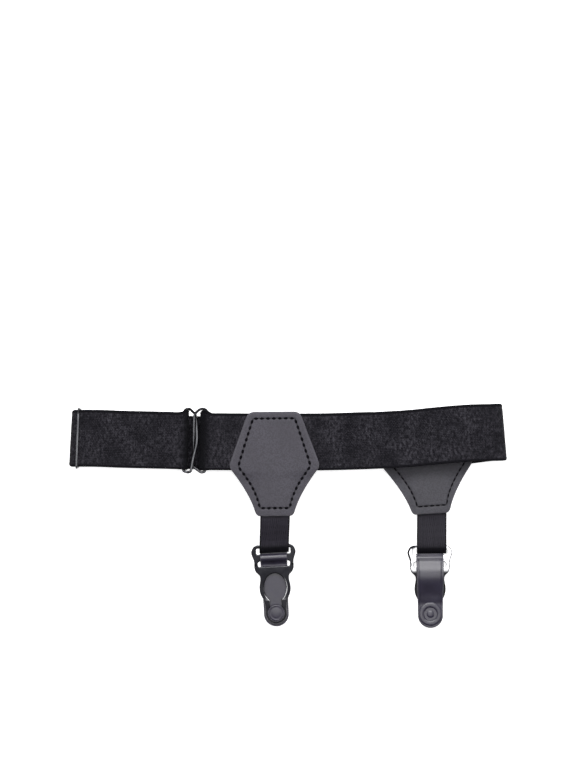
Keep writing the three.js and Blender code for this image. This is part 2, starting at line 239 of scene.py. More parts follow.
def build_yarn_weave():
    """Short yarn floats laid like bricks; Place is along and across the cloth in metres."""
    tree, given, out = group("yarn weave", {"Place": None, "Float Length": 0.001, "Row Width": 0.0006,
                                            "Looseness": 0.2}, ["Height", "Tone"])
    centred = calc(tree, "SUBTRACT", noise(tree, given["Place"], 900.0), 0.5)
    wander = times(tree, centred, given["Looseness"])
    parts = parts_of(tree, given["Place"])
    row = plus(tree, calc(tree, "DIVIDE", parts["Y"], given["Row Width"]), wander)
    half_brick = times(tree, calc(tree, "FLOOR", row), 0.5)
    along = plus(tree, calc(tree, "DIVIDE", parts["X"], given["Float Length"]), half_brick)
    along = plus(tree, along, wander)
    crown, length = (calc(tree, "ABSOLUTE", calc(tree, "SINE", times(tree, value, math.pi)))
                     for value in (row, along))
    height = times(tree, calc(tree, "POWER", crown, 0.7), calc(tree, "POWER", length, 0.5))
    tree.links.new(height, out["Height"])
    fuzz = noise(tree, given["Place"], 2600.0, 1.0)
    tree.links.new(times(tree, height, ramp(tree, fuzz, 0.38, 0.72)), out["Tone"])
    return tree


def build_hide_grain():
    """Fine pebbled grain with pores and a cloudy tone; Place is in metres."""
    tree, given, out = group("hide grain", {"Place": None, "Pebbles": 900.0}, ["Height", "Cloud"])
    cells = place(tree, "ShaderNodeTexVoronoi", {"Vector": given["Place"], "Scale": given["Pebbles"],
                                                 "Smoothness": 0.6, "Randomness": 1.0},
                  feature="SMOOTH_F1")
    pebble = rest_of(tree, cells.outputs["Distance"])
    wrinkle = noise(tree, given["Place"], 420.0, 4.0, 0.6)
    height = plus(tree, times(tree, pebble, 0.6), times(tree, wrinkle, 0.5))
    tree.links.new(height, out["Height"])
    tree.links.new(noise(tree, given["Place"], 70.0, 3.0, 0.55), out["Cloud"])
    return tree


def build_rim_paling():
    """How pale an edge is, from wear and from painted light: all along it, broken up by a coarse noise.
    """
    tree, given, out = group("rim paling", {"Place": None, "Edge": 0.0, "Patchiness": 0.4}, ["Mask"])
    patchy = ramp(tree, noise(tree, given["Place"], 260.0, 3.0, 0.6), 0.3, 0.7)
    keep = rest_of(tree, times(tree, given["Patchiness"], patchy))
    tree.links.new(times(tree, given["Edge"], keep, clamp=True), out["Mask"])
    return tree


def build_lint():
    """Faint specks of lint and dust."""
    tree, given, out = group("lint", {"Place": None, "Amount": 0.5}, ["Mask"])
    specks = ramp(tree, noise(tree, given["Place"], 1500.0, 2.0, 0.7), 0.66, 0.8)
    tree.links.new(times(tree, specks, given["Amount"]), out["Mask"])
    return tree


YARN_WEAVE = build_yarn_weave()
HIDE_GRAIN = build_hide_grain()
RIM_PALING = build_rim_paling()
LINT = build_lint()


def grouped(tree, group_tree, **inputs):
    """A node group in a material; inputs are named with underscores for spaces."""
    named = {key.replace("_", " "): value for key, value in inputs.items()}
    return place(tree, "ShaderNodeGroup", named, node_tree=group_tree).outputs


def new_finish(name, roughness, **sockets):
    """A material with its shader's even values set, and its tree."""
    finish = bpy.data.materials.new(name)
    finish.use_nodes = True
    inputs = finish.node_tree.nodes["Principled BSDF"].inputs
    inputs["Roughness"].default_value = roughness
    for key, value in sockets.items():
        inputs[key.replace("_", " ")].default_value = value
    return finish, finish.node_tree


def feed(tree, **sockets):
    """Links values that change over the surface to the shader."""
    for key, value in sockets.items():
        tree.links.new(value, tree.nodes["Principled BSDF"].inputs[key.replace("_", " ")])


def attribute(tree, name, output="Fac"):
    return place(tree, "ShaderNodeAttribute", attribute_name=name).outputs[output]


def object_place(tree):
    return place(tree, "ShaderNodeTexCoord").outputs["Object"]


def bump(tree, height, strength, distance):
    node = place(tree, "ShaderNodeBump", {"Height": height, "Strength": strength, "Distance": distance})
    feed(tree, Normal=node.outputs["Normal"])


def rim_wear_and_painted_light(tree, where, patchiness):
    """How much a piece's rim is paler, from wear and, on the clips, from painted light."""
    edge = attribute(tree, "rim")
    return grouped(tree, RIM_PALING, Place=where, Edge=edge, Patchiness=patchiness)["Mask"]


def webbing_finish():
    """Knitted elastic webbing: dark charcoal speckled with lighter yarn, with a firm selvedge."""
    finish, tree = new_finish("elastic_webbing", 0.9, Specular_IOR_Level=0.12)
    where = attribute(tree, "cloth_place", "Vector")
    weave = grouped(tree, YARN_WEAVE, Place=where, Float_Length=0.0011, Row_Width=0.00075,
                    Looseness=0.5)
    selvedge = ramp(tree, calc(tree, "ABSOLUTE", parts_of(tree, where)["Y"]), 0.0114, 0.0117)
    streaks = noise(tree, stretched(tree, where, 950.0, 520.0), 1.0, 3.0, 0.65)
    clouds = noise(tree, stretched(tree, where, 120.0, 80.0), 1.0, 3.0)
    lift = times(tree, ramp(tree, streaks, 0.38, 0.7), ramp(tree, clouds, 0.25, 0.7))
    speckle = plus(tree, times(tree, weave["Tone"], 0.5), times(tree, lift, 0.75))
    body = times(tree, speckle, rest_of(tree, selvedge), clamp=True)
    yarn = blend(tree, body, (0.0045, 0.0042, 0.0062), (0.058, 0.055, 0.066))
    fluff = grouped(tree, LINT, Place=where, Amount=0.25)["Mask"]
    linted = blend(tree, fluff, yarn, (0.12, 0.12, 0.13))
    # Painted shade, darkest beside the slider and towards the closure's folds
    band_shade = times(tree, attribute(tree, "painted_shade"), 0.92)
    feed(tree, Base_Color=blend(tree, band_shade, linted, DEEP_SHADE))
    bump(tree, weave["Height"], 0.7, 0.0002)
    return finish


def leather_finish(name, base, light):
    """Matt split leather with a fine grain, a paler cut edge and painted shade in its sewn channel."""
    finish, tree = new_finish(name, 0.66, Specular_IOR_Level=0.3)
    where = object_place(tree)
    grain = grouped(tree, HIDE_GRAIN, Place=where, Pebbles=1500.0)
    cloudy = blend(tree, ramp(tree, grain["Cloud"], 0.25, 0.75), base, light)
    deep = tuple(0.85 * value for value in base)
    pores = blend(tree, ramp(tree, grain["Height"], 0.4, 0.7), deep, cloudy)
    paler_rim = times(tree, rim_wear_and_painted_light(tree, where, 0.5), 0.3)
    pale = blend(tree, paler_rim, pores, (0.12, 0.117, 0.13))
    # Painted shade in the sewn channel
    painted_shade = times(tree, attribute(tree, "painted_shade"), 0.8)
    dark = blend(tree, painted_shade, pale, (0.012, 0.012, 0.014))
    fluff = grouped(tree, LINT, Place=where, Amount=0.18)["Mask"]
    feed(tree, Base_Color=blend(tree, fluff, dark, (0.25, 0.25, 0.26)),
         Roughness=plus(tree, 0.5, times(tree, grain["Height"], 0.2)))
    bump(tree, grain["Height"], 0.55, 0.00015)
    return finish


def satin_finish():
    """Ribbed satin tape: fine ribs along it, glossier on their crowns."""
    finish, tree = new_finish("satin_tape", 0.42, Specular_IOR_Level=0.1)
    where = attribute(tree, "cloth_place", "Vector")
    weave = grouped(tree, YARN_WEAVE, Place=where, Float_Length=0.006, Row_Width=0.00042,
                    Looseness=0.6)
    edge = ramp(tree, calc(tree, "ABSOLUTE", parts_of(tree, where)["Y"]), 0.0057, 0.0061)
    streaks = noise(tree, stretched(tree, where, 40.0, 1600.0), 1.0, 2.0)
    ribs = plus(tree, times(tree, weave["Height"], 0.6), times(tree, streaks, 0.5))
    tone = times(tree, ribs, rest_of(tree, times(tree, edge, 0.6)))
    taped = blend(tree, tone, (0.0065, 0.0058, 0.0082), (0.0395, 0.036, 0.0475))
    # Painted shade where the strap dives into the clip, and over all of the back strap
    shaded = times(tree, attribute(tree, "painted_shade"), 0.8)
    feed(tree, Base_Color=blend(tree, shaded, taped, DEEP_SHADE),
         Roughness=calc(tree, "SUBTRACT", 0.58, times(tree, weave["Height"], 0.2)))
    bump(tree, weave["Height"], 0.5, 0.00012)
    return finish


def thread_finish():
    """Waxed black sewing thread with a slanting twist."""
    finish, tree = new_finish("sewing_thread", 0.8, Specular_IOR_Level=0.04)
    where = object_place(tree)
    wave = {"Vector": where, "Scale": 900.0, "Distortion": 1.5, "Detail": 1.0}
    twist = place(tree, "ShaderNodeTexWave", wave, bands_direction="DIAGONAL").outputs["Fac"]
    waxed = blend(tree, twist, (0.001, 0.001, 0.0015), (0.005, 0.0045, 0.007))
    feed(tree, Base_Color=waxed)
    bump(tree, twist, 0.4, 0.0001)
    return finish


def metal_finish(name, dark, cloudy, bright, roughness, wear, painted_dark=0.0):
    """Plated metal with a faintly wavy gloss, bright where it is unplated, at its worn edges, which
    also stand for painted highlights, and at the keyhole's painted glint. Painted shade darkens a wire
    in its lower half, and a painted dark reflection its bends at the band's upper edge."""
    finish, tree = new_finish(name, roughness, Metallic=1.0)
    where = object_place(tree)
    smudge = noise(tree, where, 180.0, 3.0, 0.6)
    plated = blend(tree, ramp(tree, smudge, 0.3, 0.8), dark, cloudy)
    edge_wear_and_highlight = times(tree, rim_wear_and_painted_light(tree, where, 0.6), wear)
    shine = calc(tree, "MAXIMUM", edge_wear_and_highlight, attribute(tree, "bare_metal_and_glint"))
    colour = blend(tree, shine, plated, bright)
    # Painted shade low on the wire, and a painted dark reflection on its bends above the band
    if painted_dark:
        parts = parts_of(tree, where)
        low = rest_of(tree, ramp(tree, parts["Z"], 0.0076, 0.0082))
        dark_part = calc(tree, "MAXIMUM", low, ramp(tree, parts["Y"], 0.0452, 0.0462))
        colour = blend(tree, times(tree, dark_part, painted_dark), colour, (0.006, 0.006, 0.007))
    waviness = times(tree, smudge, roughness * 0.7)
    feed(tree, Base_Color=colour, Roughness=plus(tree, roughness * 0.7, waviness))
    bump(tree, noise(tree, where, 900.0, 2.0), 0.05, 0.0001)
    return finish


def plastic_finish():
    """Satin moulded plastic with a fine eroded surface."""
    finish, tree = new_finish("moulded_plastic", 0.33, Specular_IOR_Level=0.72)
    where = object_place(tree)
    cloud = noise(tree, where, 120.0, 3.0, 0.6)
    body = blend(tree, ramp(tree, cloud, 0.3, 0.7), (0.0145, 0.0115, 0.025), (0.0205, 0.017, 0.036))
    # Paler at the worn edges, and over the paddle end as painted light
    paler_rim = times(tree, rim_wear_and_painted_light(tree, where, 0.7), 0.3)
    feed(tree, Base_Color=blend(tree, paler_rim, body, (0.05, 0.047, 0.06)),
         Roughness=plus(tree, 0.27, times(tree, cloud, 0.2)))
    bump(tree, noise(tree, where, 4200.0, 1.0), 0.12, 0.00005)
    return finish


WEBBING = webbing_finish()
OUTER_LEATHER = leather_finish("leather_face", (0.0595, 0.0555, 0.0685), (0.0695, 0.0655, 0.081))
INNER_LEATHER = leather_finish("leather_lining", (0.057, 0.055, 0.065), (0.07, 0.068, 0.08))
SATIN = satin_finish()
THREAD = thread_finish()
BLACK_METAL = metal_finish("black_plating", (0.009, 0.009, 0.011), (0.02, 0.02, 0.023),
                           (0.85, 0.85, 0.87), roughness=0.2, wear=0.12)
WIRE = metal_finish("nickel_wire", (0.1, 0.1, 0.108), (0.17, 0.17, 0.18), (0.5, 0.5, 0.51),
                    roughness=0.2, wear=0.5, painted_dark=0.9)
PLASTIC = plastic_finish()


# Modelling helpers

def in_scene(name, data):
    item = bpy.data.objects.new(name, data)
    bpy.context.scene.collection.objects.link(item)
    return item


def added(name, data, finish, nodes=()):
    """A piece of the garter with its finish; it stands for the CAD nodes named."""
    piece = in_scene(name, data)
    piece.data.materials.append(finish)
    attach(piece, "root")
    if nodes:
        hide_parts(*nodes)
    return piece


def finished(name, bm, finish, nodes=(), sharp=40):
    """The mesh as a piece of the garter, in metres in the frame, with smooth faces."""
    bmesh.ops.translate(bm, vec=PLAN_SHIFT, verts=bm.verts)
    bmesh.ops.scale(bm, vec=(MM, MM, MM), verts=bm.verts)
    mesh = bpy.data.meshes.new(name)
    bm.to_mesh(mesh)
    bm.free()
    mesh.shade_smooth()
    mesh.set_sharp_from_angle(angle=math.radians(sharp))
    return added(name, mesh, finish, nodes)


def ease_to(route, *places, step=2.0):
    """Adds points that run level out of the last one and level into each place (x, z) in turn."""
    for x, z in places:
        from_x, from_z = route[-1]
        fewest = 12 if abs(z - from_z) > 0.01 else 1
        steps = max(fewest, math.ceil(abs(x - from_x) / step))
        for i in range(1, steps + 1):
            share = i / steps
            route.append((mix(from_x, x, share), mix(from_z, z, smoothstep(0, 1, share))))


def half_turn(route, x, z, radius, side, steps=18, reach=None, slope=1.0):
    """Adds a half turn about (x, z), on the side given. Reach is how far out it goes, where that isn't
    its radius, and a slope over 1 straightens its first half."""
    start = math.copysign(1, route[-1][1] - z)
    for i in range(1, steps + 1):
        angle = math.pi * i / steps
        power = slope if 2 * i < steps else 1.0
        out = side * (reach or radius) * math.sin(angle) ** power
        up = start * radius * math.cos(angle) ** power
        route.append((x + out, z + up))


class BentRoute:
    """A route of points that a flat strip is bent along."""

    def __init__(self, points):
        self.points = [Vector(p) for p in points]
        self.stations = [0.0]
        for a, b in zip(self.points, self.points[1:]):
            self.stations.append(self.stations[-1] + (b - a).length)
        self.normals = []
        for i in range(len(self.points)):
            along = self.points[min(i + 1, len(self.points) - 1)] - self.points[max(i - 1, 0)]
            self.normals.append(Vector((-along.y, along.x)).normalized())

    def at(self, distance, height):
        """The point at a distance along the route and a height over its middle line."""
        i = min(max(sum(s <= distance + 1e-4 for s in self.stations) - 1, 0), len(self.points) - 2)
        span = self.stations[i + 1] - self.stations[i]
        share = (distance - self.stations[i]) / span
        normal = self.normals[i].lerp(self.normals[i + 1], share).normalized()
        return self.points[i].lerp(self.points[i + 1], share) + normal * height


def cut_across(bm, positions, axis):
    """Cuts a mesh with a plane at each position along an axis, leaving both sides joined."""
    normal = Vector([1.0 if i == axis else 0.0 for i in range(3)])
    for position in positions:
        bmesh.ops.bisect_plane(bm, geom=bm.verts[:] + bm.edges[:] + bm.faces[:], dist=1e-5,
                               plane_co=normal * position, plane_no=normal)


def flat_strip(stations, rows, width, thick, rounding):
    """A closed flat strip along X with rounded long edges, cut at every station and every row."""
    bm = bmesh.new()
    bmesh.ops.create_cube(bm, size=1)
    length = stations[-1]
    bmesh.ops.scale(bm, vec=(length, width, thick), verts=bm.verts)
    bmesh.ops.translate(bm, vec=(length / 2, 0, 0), verts=bm.verts)
    long_edges = [e for e in bm.edges if abs(e.verts[0].co.x - e.verts[1].co.x) > length / 2]
    bmesh.ops.bevel(bm, geom=long_edges, offset=rounding, segments=3, profile=0.5, affect="EDGES",
                    material=-1)
    cut_across(bm, stations[1:-1], 0)
    cut_across(bm, [side * row for row in rows for side in (-1, 1)] + [0], 1)
    return bm


def keep_cloth_place(bm):
    """Stores where each vertex lies on the flat cloth, in metres, for the weave."""
    layer = bm.verts.layers.float_vector.new("cloth_place")
    for vert in bm.verts:
        vert[layer] = vert.co * MM


def close_up(bm, distance):
    """Merges the vertices that lie together and turns all faces outwards."""
    bmesh.ops.remove_doubles(bm, verts=bm.verts, dist=distance)
    bmesh.ops.recalc_face_normals(bm, faces=bm.faces)


def skin(bm, loops):
    """A closed skin over a row of loops whose first and last are drawn in to a middle line."""
    verts = [bm.verts.new(point) for point in loops[0]]
    edges = [bm.edges.new((verts[i - 1], verts[i])) for i in range(len(verts))]
    for points in loops[1:]:
        made = bmesh.ops.extrude_edge_only(bm, edges=edges)["geom"]
        fresh = {item for item in made if isinstance(item, bmesh.types.BMVert)}
        edges = [e for e in made if isinstance(e, bmesh.types.BMEdge) and fresh.issuperset(e.verts)]
        verts = [next(e.other_vert(v) for e in v.link_edges if e.other_vert(v) in fresh) for v in verts]
        for vert, point in zip(verts, points):
            vert.co = point
    close_up(bm, 0.03)


def spun(bm, profile, centre, axis, steps):
    """A profile spun all the way round an axis; the profile is a row of points."""
    verts = [bm.verts.new(point) for point in profile]
    edges = [bm.edges.new(pair) for pair in zip(verts, verts[1:])]
    bmesh.ops.spin(bm, geom=verts + edges, cent=centre, axis=axis, angle=2 * math.pi, steps=steps,
                   use_merge=True)


def quadratic_chain(chain, steps):
    """Points on a chain of quadratic arcs; every other chain point is a control."""
    points = [Vector(chain[0])]
    for k, count in enumerate(steps):
        a, b, c = (Vector(p) for p in chain[2 * k:2 * k + 3])
        for i in range(1, count + 1):
            t = i / count
            points.append(a.lerp(b, t).lerp(b.lerp(c, t), t))
    return points


def mirrored(points):
    return [Vector((-p.x, p.y)) for p in points]


def mirrored_loop(half):
    """A whole outline from its right half, which starts and ends on the middle line."""
    return half + mirrored(reversed(half[1:-1]))


def smooth_through(points, steps):
    """Points on a smooth curve through a row of points."""
    rows = [Vector(p) for p in points]
    result = [rows[0]]
    for i in range(len(rows) - 1):
        a, b, c, d = (rows[min(max(i + k, 0), len(rows) - 1)] for k in (-1, 0, 1, 2))
        for s in range(1, steps + 1):
            t = s / steps
            result.append(0.5 * (2 * b + (c - a) * t + (2 * a - 5 * b + 4 * c - d) * t * t
                                 + (3 * b - a - 3 * c + d) * t ** 3))
    return result


def arc(y, radius, start, end, steps, height=None):
    """Points on an arc about a place on the middle line; height is half an ellipse's height."""
    angles = [mix(start, end, i / steps) for i in range(steps + 1)]
    return [Vector((radius * math.cos(angle), y + (height or radius) * math.sin(angle)))
            for angle in angles]


# Band

def band_route():
    """The webbing's way as (x, z), from its tail over the hook and round the loop to its sewn end."""
    fold_middle = CLOSURE_WIRE + HOOK_FOLD_REACH - WRAP_RADIUS
    hook_x = CLOSURE_X - fold_middle
    ring_x = CLOSURE_X + fold_middle
    tail_level = 4.6
    fold_radius = (RAISED_FRONT_BAND - BACK_BAND) / 2
    route = [(-81, tail_level)]
    ease_to(route, (-87, tail_level), (SLIDER_X, SLIDER_Z - WRAP_RADIUS))
    half_turn(route, SLIDER_X, SLIDER_Z, WRAP_RADIUS, -1)
    ease_to(route, (-86, tail_level + BAND_THICK + GAP), (hook_x, CLOSURE_Z - WRAP_RADIUS))
    half_turn(route, hook_x, CLOSURE_Z, WRAP_RADIUS, 1, reach=HOOK_FOLD_REACH)
    ease_to(route, (SLIDER_X, SLIDER_Z + SLIDER_TURN_RADIUS))
    half_turn(route, SLIDER_X, SLIDER_Z, SLIDER_TURN_RADIUS, -1, 24)
    ease_to(route, (-86, BACK_BAND), (-78, FLOOR_BAND), (33, FLOOR_BAND), (41, BACK_BAND),
            (RIGHT_FOLD_X, BACK_BAND))
    half_turn(route, RIGHT_FOLD_X, BACK_BAND + fold_radius, fold_radius, 1, 24)
    ease_to(route, (40, RAISED_FRONT_BAND), (16, FRONT_BAND), (-28, FRONT_BAND),
            (ring_x, CLOSURE_Z + WRAP_RADIUS))
    half_turn(route, ring_x, CLOSURE_Z, WRAP_RADIUS, -1, reach=RING_FOLD_REACH)
    ease_to(route, (-28, FRONT_BAND - BAND_THICK - GAP))
    return BentRoute(route)


def band_thickness(across):
    """How full the webbing is there: firm at the selvedge, with a fine channel inside it."""
    side = abs(across)
    channel = smoothstep(10.9, 11.4, side) - smoothstep(11.4, 11.9, side)
    return 0.92 - 0.14 * channel + 0.08 * smoothstep(11.4, 12.0, side)


def corner_pull(x):
    """How far the selvedge is pulled in near the band's two end folds, as rounded corners."""
    left = share_of(LEFT_END + LEFT_ROUNDING, LEFT_END, x)
    right = share_of(RIGHT_END - RIGHT_ROUNDING, RIGHT_END, x)
    return 1.2 * (1 - math.sqrt(1 - left * left)) + 0.9 * (1 - math.sqrt(1 - right * right))


def edge_push(x, z, across):
    """How far the wires' corners push the upper layer's selvedge out beside the closure."""
    if z < BACK_BAND:
        return 0.0
    if x < CLOSURE_X:
        share = smoothstep(-48.2, -46.0, x)
    else:
        share = hump(-40.4, -38.2, -37.2, -34.0, x)
    return share * (UPPER_PUSH * smoothstep(6, BAND_WIDTH / 2, across)
                    - LOWER_PUSH * smoothstep(6, BAND_WIDTH / 2, -across))


def band_painted_shade(x, z):
    """How much painted shade the upper layer gets: most beside the slider and towards the closure's
    folds, and a little in its left part and at its right fold."""
    wire = SLIDER_X + 0.4
    beside_slider = 1 - smoothstep(0.3, 1.5, abs(x - wire - 0.3)) if x > wire - 0.3 else 0.0
    at_hook = smoothstep(-49.5, -45, x) if x < CLOSURE_X else 0.0
    at_ring = 1 - smoothstep(-38.2, -33.7, x) if x > CLOSURE_X else 0.0
    left_part = 0.09 * (1 - smoothstep(-62, -50, x))
    right_fold = 0.16 * smoothstep(88.5, 90.5, x)
    return smoothstep(5, 6, z) * max(beside_slider, at_hook, at_ring, left_part, right_fold)


def make_band():
    route = band_route()
    rows = (2, 4, 6, 8, 9.6, 10.7, 11.1, 11.4, 11.7, 12.05)
    bm = flat_strip(route.stations, rows, BAND_WIDTH, BAND_THICK, 0.45)
    keep_cloth_place(bm)
    band_shade_layer = bm.verts.layers.float.new("painted_shade")
    fold_middle = (RAISED_FRONT_BAND + BACK_BAND) / 2
    for vert in bm.verts:
        distance, across, height = vert.co
        x, z = route.at(distance, height * band_thickness(across))
        middle = FRONT_Y if z > fold_middle else BACK_Y
        across *= 1 - corner_pull(x) / (BAND_WIDTH / 2)
        y = across + along_plan(middle, x)
        if z < BACK_BAND:
            # The lower layer's upper edge hangs a little behind the closure
            behind_closure = hump(-51, -46, -37, -32, x)
            y -= 1.6 * behind_closure * smoothstep(-BAND_WIDTH / 2, BAND_WIDTH / 2, across)
        y += edge_push(x, z, across)
        # The upper layer's painted shade
        vert[band_shade_layer] = band_painted_shade(x, z)
        vert.co = (x + along_plan(LEAN, x) * across, y, z)
    piece = finished("band_webbing", bm, WEBBING, ["band"], sharp=60)


# Wires

def wire_curve(name, radius, corners, bar=None):
    """A loop of wire through corners, each x, y, z and how far it is rounded, with a straight bar."""
    curve = bpy.data.curves.new(name, "CURVE")
    curve.dimensions = "3D"
    curve.bevel_depth = radius
    curve.bevel_resolution = 4
    curve.resolution_u = 8
    curve.render_resolution_u = 8
    spline = curve.splines.new("BEZIER")
    spline.use_cyclic_u = True
    spline.bezier_points.add(2 * len(corners) - 1)
    for i, corner in enumerate(corners):
        at = Vector(corner[:3])
        before = Vector(corners[i - 1][:3]) - at
        after = Vector(corners[(i + 1) % len(corners)][:3]) - at
        enter, leave = spline.bezier_points[2 * i:2 * i + 2]
        enter.co = at + before.normalized() * corner[3]
        leave.co = at + after.normalized() * corner[3]
        enter.handle_left = enter.co + before * 0.2
        enter.handle_right = enter.co.lerp(at, 2 / 3)
        leave.handle_left = leave.co.lerp(at, 2 / 3)
        leave.handle_right = leave.co + after * 0.2
    if bar:
        straight = curve.splines.new("POLY")
        straight.points.add(1)
        for point, end in zip(straight.points, bar):
            point.co = (*end, 1)
    curve.use_fill_caps = True
    return curve


def set_wire(curve, turn, place_at, nodes):
    """Turns and moves a wire in its own data, into the frame in metres."""
    curve.transform(Matrix.Scale(MM, 4) @ Matrix.Translation(Vector(place_at) + PLAN_SHIFT) @ turn)
    added(curve.name, curve, WIRE, nodes)


def make_slider():
    rise = SLIDER_Z - SLIDER_WIRE_RADIUS
    half = math.hypot(SLIDER_TILT, rise)
    corners = [(0, y * SLIDER_REACH, z * half, 1) for y, z in ((-1, -1), (1, -1), (1, 1), (-1, 1))]
    middle_bar = ((0, -SLIDER_REACH, 0), (0, SLIDER_REACH, 0))
    curve = wire_curve("slider_wire", SLIDER_WIRE_RADIUS, corners, middle_bar)
    tilt = Matrix.Rotation(-math.atan2(SLIDER_TILT, rise), 4, "Y")
    set_wire(curve, Matrix.Rotation(SLIDER_TURN, 4, "Z") @ tilt,
             (SLIDER_X, along_plan(FRONT_Y, SLIDER_X), SLIDER_Z), ["slider"])


# The corners of the closure's wires about its middle, each x, y, z and how far it is rounded
HOOK_CORNERS = [
    (-4.9, 13.9, 0, 0.8), (-2.9, 14.5, -0.3, 0.9), (-0.37, 12.25, -0.75, 0.6), (0.25, 10.8, -0.6, 1),
    (1.05, 0.4, 0.25, 3), (-0.3, -6.3, 0.75, 2), (-1.5, -13.6, 0.8, 0.6), (-2.7, -14, 0.4, 0.5),
    (-4.9, -13.45, 0, 0.8),
]
RING_CORNERS = [
    (-0.6, 11.2, 0.6, 0.8), (-0.1, 12.5, 0.75, 0.5), (1.7, 14.3, 0.4, 1), (3.4, 14.6, 0.2, 0.6),
    (4.9, 13.9, 0, 0.7), (4.9, -13.4, 0, 0.7), (3.2, -13.95, -0.2, 0.7), (-0.6, -11.4, -0.6, 1),
    (-0.6, -6.3, -0.75, 2),
]


def make_closure():
    turn = Matrix.Rotation(CLOSURE_TURN, 4, "Z")
    at = (CLOSURE_X, along_plan(FRONT_Y, CLOSURE_X), CLOSURE_Z)
    for name, corners in (("hook", HOOK_CORNERS), ("ring", RING_CORNERS)):
        curve = wire_curve(f"{name}_wire", CLOSURE_WIRE_RADIUS, corners)
        set_wire(curve, turn, at, [f"band_{name}"])


# Leather patches

# The right half of a patch's edge and of its sewn line, from the narrow end to the wide one. The arcs
# are the narrow end, its corner, the lower side, the widest corner, the upper side, its corner, the top.
ARC_STEPS = (5, 4, 16, 6, 16, 6, 6)
PATCH_EDGE = quadratic_chain(
    [(0, 0), (3.2, 0), (6.4, 0), (8.2, 0), (8.8, 1.9), (11.1, 9.8), (19.2, 20.6), (20.4, 22.1),
     (19.7, 24.2), (16.2, 33.8), (12.7, 43.3), (11.6, 46.5), (8.9, 46.5), (4.4, 46.5), (0, 46.5)],
    ARC_STEPS)
STITCH_LINE = quadratic_chain(
    [(0, 3.6), (3.1, 3.6), (6.2, 3.6), (6.55, 3.6), (6.7, 4.1), (8.1, 11.7), (15.3, 21.1), (16.1, 22.2),
     (15.7, 23.6), (12.65, 33.4), (9.6, 42.6), (9.3, 43.5), (8.6, 43.5), (4.3, 43.5), (0, 43.5)],
    ARC_STEPS)
NARROW_SEAM = [Vector((-6.5, 3.6)), Vector((6.5, 3.6))]
WIDE_SEAM = [Vector((-9.3, 43.5)), Vector((9.3, 43.5))]
SEAM_SHARE = 1.2
SPINE_START = 9
SPINE_END = 38
STITCH_RISE = 0.3
STITCH_LIFT = 0.42


def patch_sink(u, v):
    """How far a patch's leather is drawn in towards its twin at a place on the patch."""
    below_band = 1 - smoothstep(15.5, 20.6, v)
    beside_strap = smoothstep(6.4, 9.2, abs(u))
    over_strap = 0.22 * below_band
    seam = 0.06 * smoothstep(0.2, 1.0, abs(u) / 16)
    return over_strap + 0.58 * below_band * beside_strap + seam


def patch_point(side, u, v, level, height):
    """A place on a leather as a point in the plan; level is the leather's mid height."""
    x, y = Matrix.Rotation(side["turn"], 2) @ Vector((u, v))
    inwards = -patch_sink(u, v) if level > side["level"] else patch_sink(u, v)
    return Vector((x + side["x"], y + side["y"], level + height + inwards))


def make_patch(name, side, level, face, finish, node):
    """One leather: level is its mid height, and face is 1 where its grain side is up, or -1."""
    edge = mirrored_loop(PATCH_EDGE)
    seam = [point + Vector((side["seam_shift"], 0)) for point in mirrored_loop(STITCH_LINE)]
    half = LEATHER_THICK / 2
    # Rows from the middle of the back over the cut edge to the middle of the face, each with its height
    # and its share of the way from the cut edge to the stitches; past those it nears the middle line.
    rows = [(share, -half) for share in (2.2, 1.95, 1.7, 1.4, 1.0, 0.6, 0.22)]
    rows += [(0.08, -0.48), (0.0, -0.3), (0.0, 0.25), (0.05, 0.42), (0.13, 0.51), (0.28, half),
             (0.55, half), (0.84, 0.54), (0.92, 0.46), (1.0, 0.37), (1.08, 0.46), (1.16, 0.54)]
    rows += [(share, half) for share in (1.3, 1.5, 1.7, 1.95, 2.2)]
    bm = bmesh.new()
    loops = []
    for share, height in rows:
        loop = []
        for outer, inner in zip(edge, seam):
            at = outer.lerp(inner, min(share, SEAM_SHARE))
            if share > SEAM_SHARE:
                spine = Vector((0, min(max(at.y, SPINE_START), SPINE_END)))
                at = at.lerp(spine, min(share - SEAM_SHARE, 0.999))
            loop.append((at.x, at.y, height))
        loops.append(loop)
    skin(bm, loops)
    rim_layer = bm.verts.layers.float.new("rim")
    seam_shade_layer = bm.verts.layers.float.new("painted_shade")
    for vert in bm.verts:
        u, v, height = vert.co
        to_edge, to_seam = (min((Vector((u, v)) - point).length for point in line)
                            for line in (edge, seam))
        vert[rim_layer] = 1 - smoothstep(0.1, 1.3, to_edge)
        # Painted shade in the sewn channel on the face
        vert[seam_shade_layer] = (1 - smoothstep(0.15, 0.5, to_seam)) if height > 0 else 0.0
        vert.co = patch_point(side, u, v, level, face * height)
    bmesh.ops.recalc_face_normals(bm, faces=bm.faces)
    piece = finished(name, bm, finish, [node], sharp=50)


def stitch_sides():
    """The sewn line's sides, each with its number of stitches."""
    narrow, narrow_corner, lower, widest, upper, wide_corner, _ = ARC_STEPS
    first = narrow + narrow_corner // 2
    second = narrow + narrow_corner + lower + widest // 2
    third = second + widest // 2 + upper + wide_corner // 2
    lower_side = STITCH_LINE[first:second + 1]
    upper_side = STITCH_LINE[second:third + 1]
    return [(NARROW_SEAM, 5), (lower_side, 8), (upper_side, 8), (WIDE_SEAM, 7),
            (mirrored(lower_side), 8), (mirrored(upper_side), 8)]


